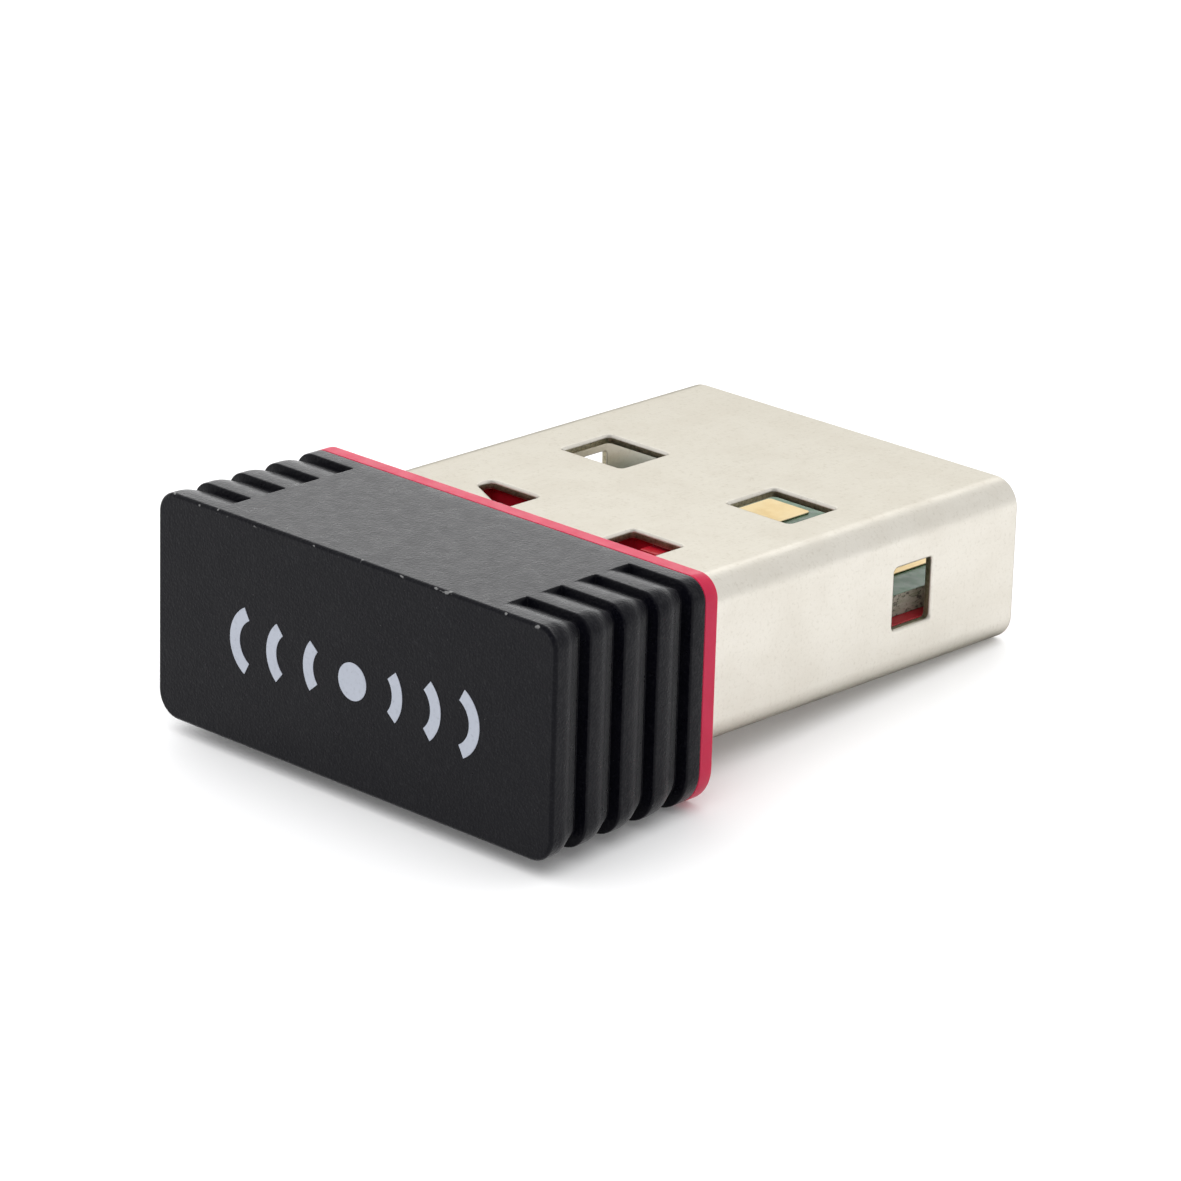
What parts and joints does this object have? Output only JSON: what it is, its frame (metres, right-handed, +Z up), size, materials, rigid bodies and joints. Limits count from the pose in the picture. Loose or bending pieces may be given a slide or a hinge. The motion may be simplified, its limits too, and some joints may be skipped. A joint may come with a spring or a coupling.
{
  "type": "usb wifi adapter",
  "caption": "Nano USB wireless adapter: a dark push-fit grip cap with angled teeth, a thin red flange, and a nickel-plated USB-A plug around a small circuit board.",
  "frame": {"origin": "centre of the footprint, on the plane that the cap and flange rest on", "axes": "+Y from the cap's blunt end to the plug's mouth, +X across the width, +Z up, the side that the contacts face"},
  "size_m": [0.0142, 0.0186, 0.0061],
  "materials": {
    "black_abs": "fine spark-eroded texture, charcoal black",
    "red_abs": "smooth moulded red, slightly translucent",
    "nickel_steel": "satin nickel plate with faint drawing lines",
    "green_board": "solder mask over glass-fibre board",
    "gold_plate": "thin gold plate, satin",
    "copper_trace": "copper under solder mask",
    "black_epoxy": "fine moulded epoxy",
    "alumina": "fired ceramic",
    "capacitor_ceramic": "tan ceramic with tinned ends",
    "resistor_black": "black glaze with tinned ends",
    "ferrite": "pressed grey ferrite",
    "lid_steel": "plated seam-welded lid",
    "solder": "bright solder",
    "ink": null
  },
  "bodies": {
    "adapter": {"carrier": "red_abs", "plug_shell": "nickel_steel", "circuit_board": "green_board", "ground_contact": "gold_plate", "data_plus_contact": "gold_plate", "data_minus_contact": "gold_plate", "power_contact": "gold_plate", "printed_antenna": "copper_trace", "wifi_chip": "black_epoxy", "power_inductor": "ferrite", "supply_capacitor_1": "capacitor_ceramic", "supply_capacitor_2": "capacitor_ceramic", "bypass_capacitor_1": "capacitor_ceramic", "bypass_capacitor_2": "capacitor_ceramic", "bypass_capacitor_3": "capacitor_ceramic", "bypass_capacitor_4": "capacitor_ceramic", "bypass_capacitor_5": "capacitor_ceramic", "reset_capacitor": "capacitor_ceramic", "crystal_capacitor_1": "capacitor_ceramic", "crystal_capacitor_2": "capacitor_ceramic", "matching_capacitor": "capacitor_ceramic", "tuning_capacitor": "capacitor_ceramic", "bias_resistor": "resistor_black", "data_resistor_1": "resistor_black", "data_resistor_2": "resistor_black", "reset_resistor": "resistor_black", "crystal_base": "alumina", "crystal_lid": "lid_steel", "rf_filter": "alumina", "matching_inductor": "alumina"},
    "cap": {"cap": "black_abs"}
  },
  "joints": [
    {"name": "cap_pull", "type": "slide", "parent": "adapter", "child": "cap", "axis": [0, -1, 0], "range_m": [0, 0.006]}
  ]
}
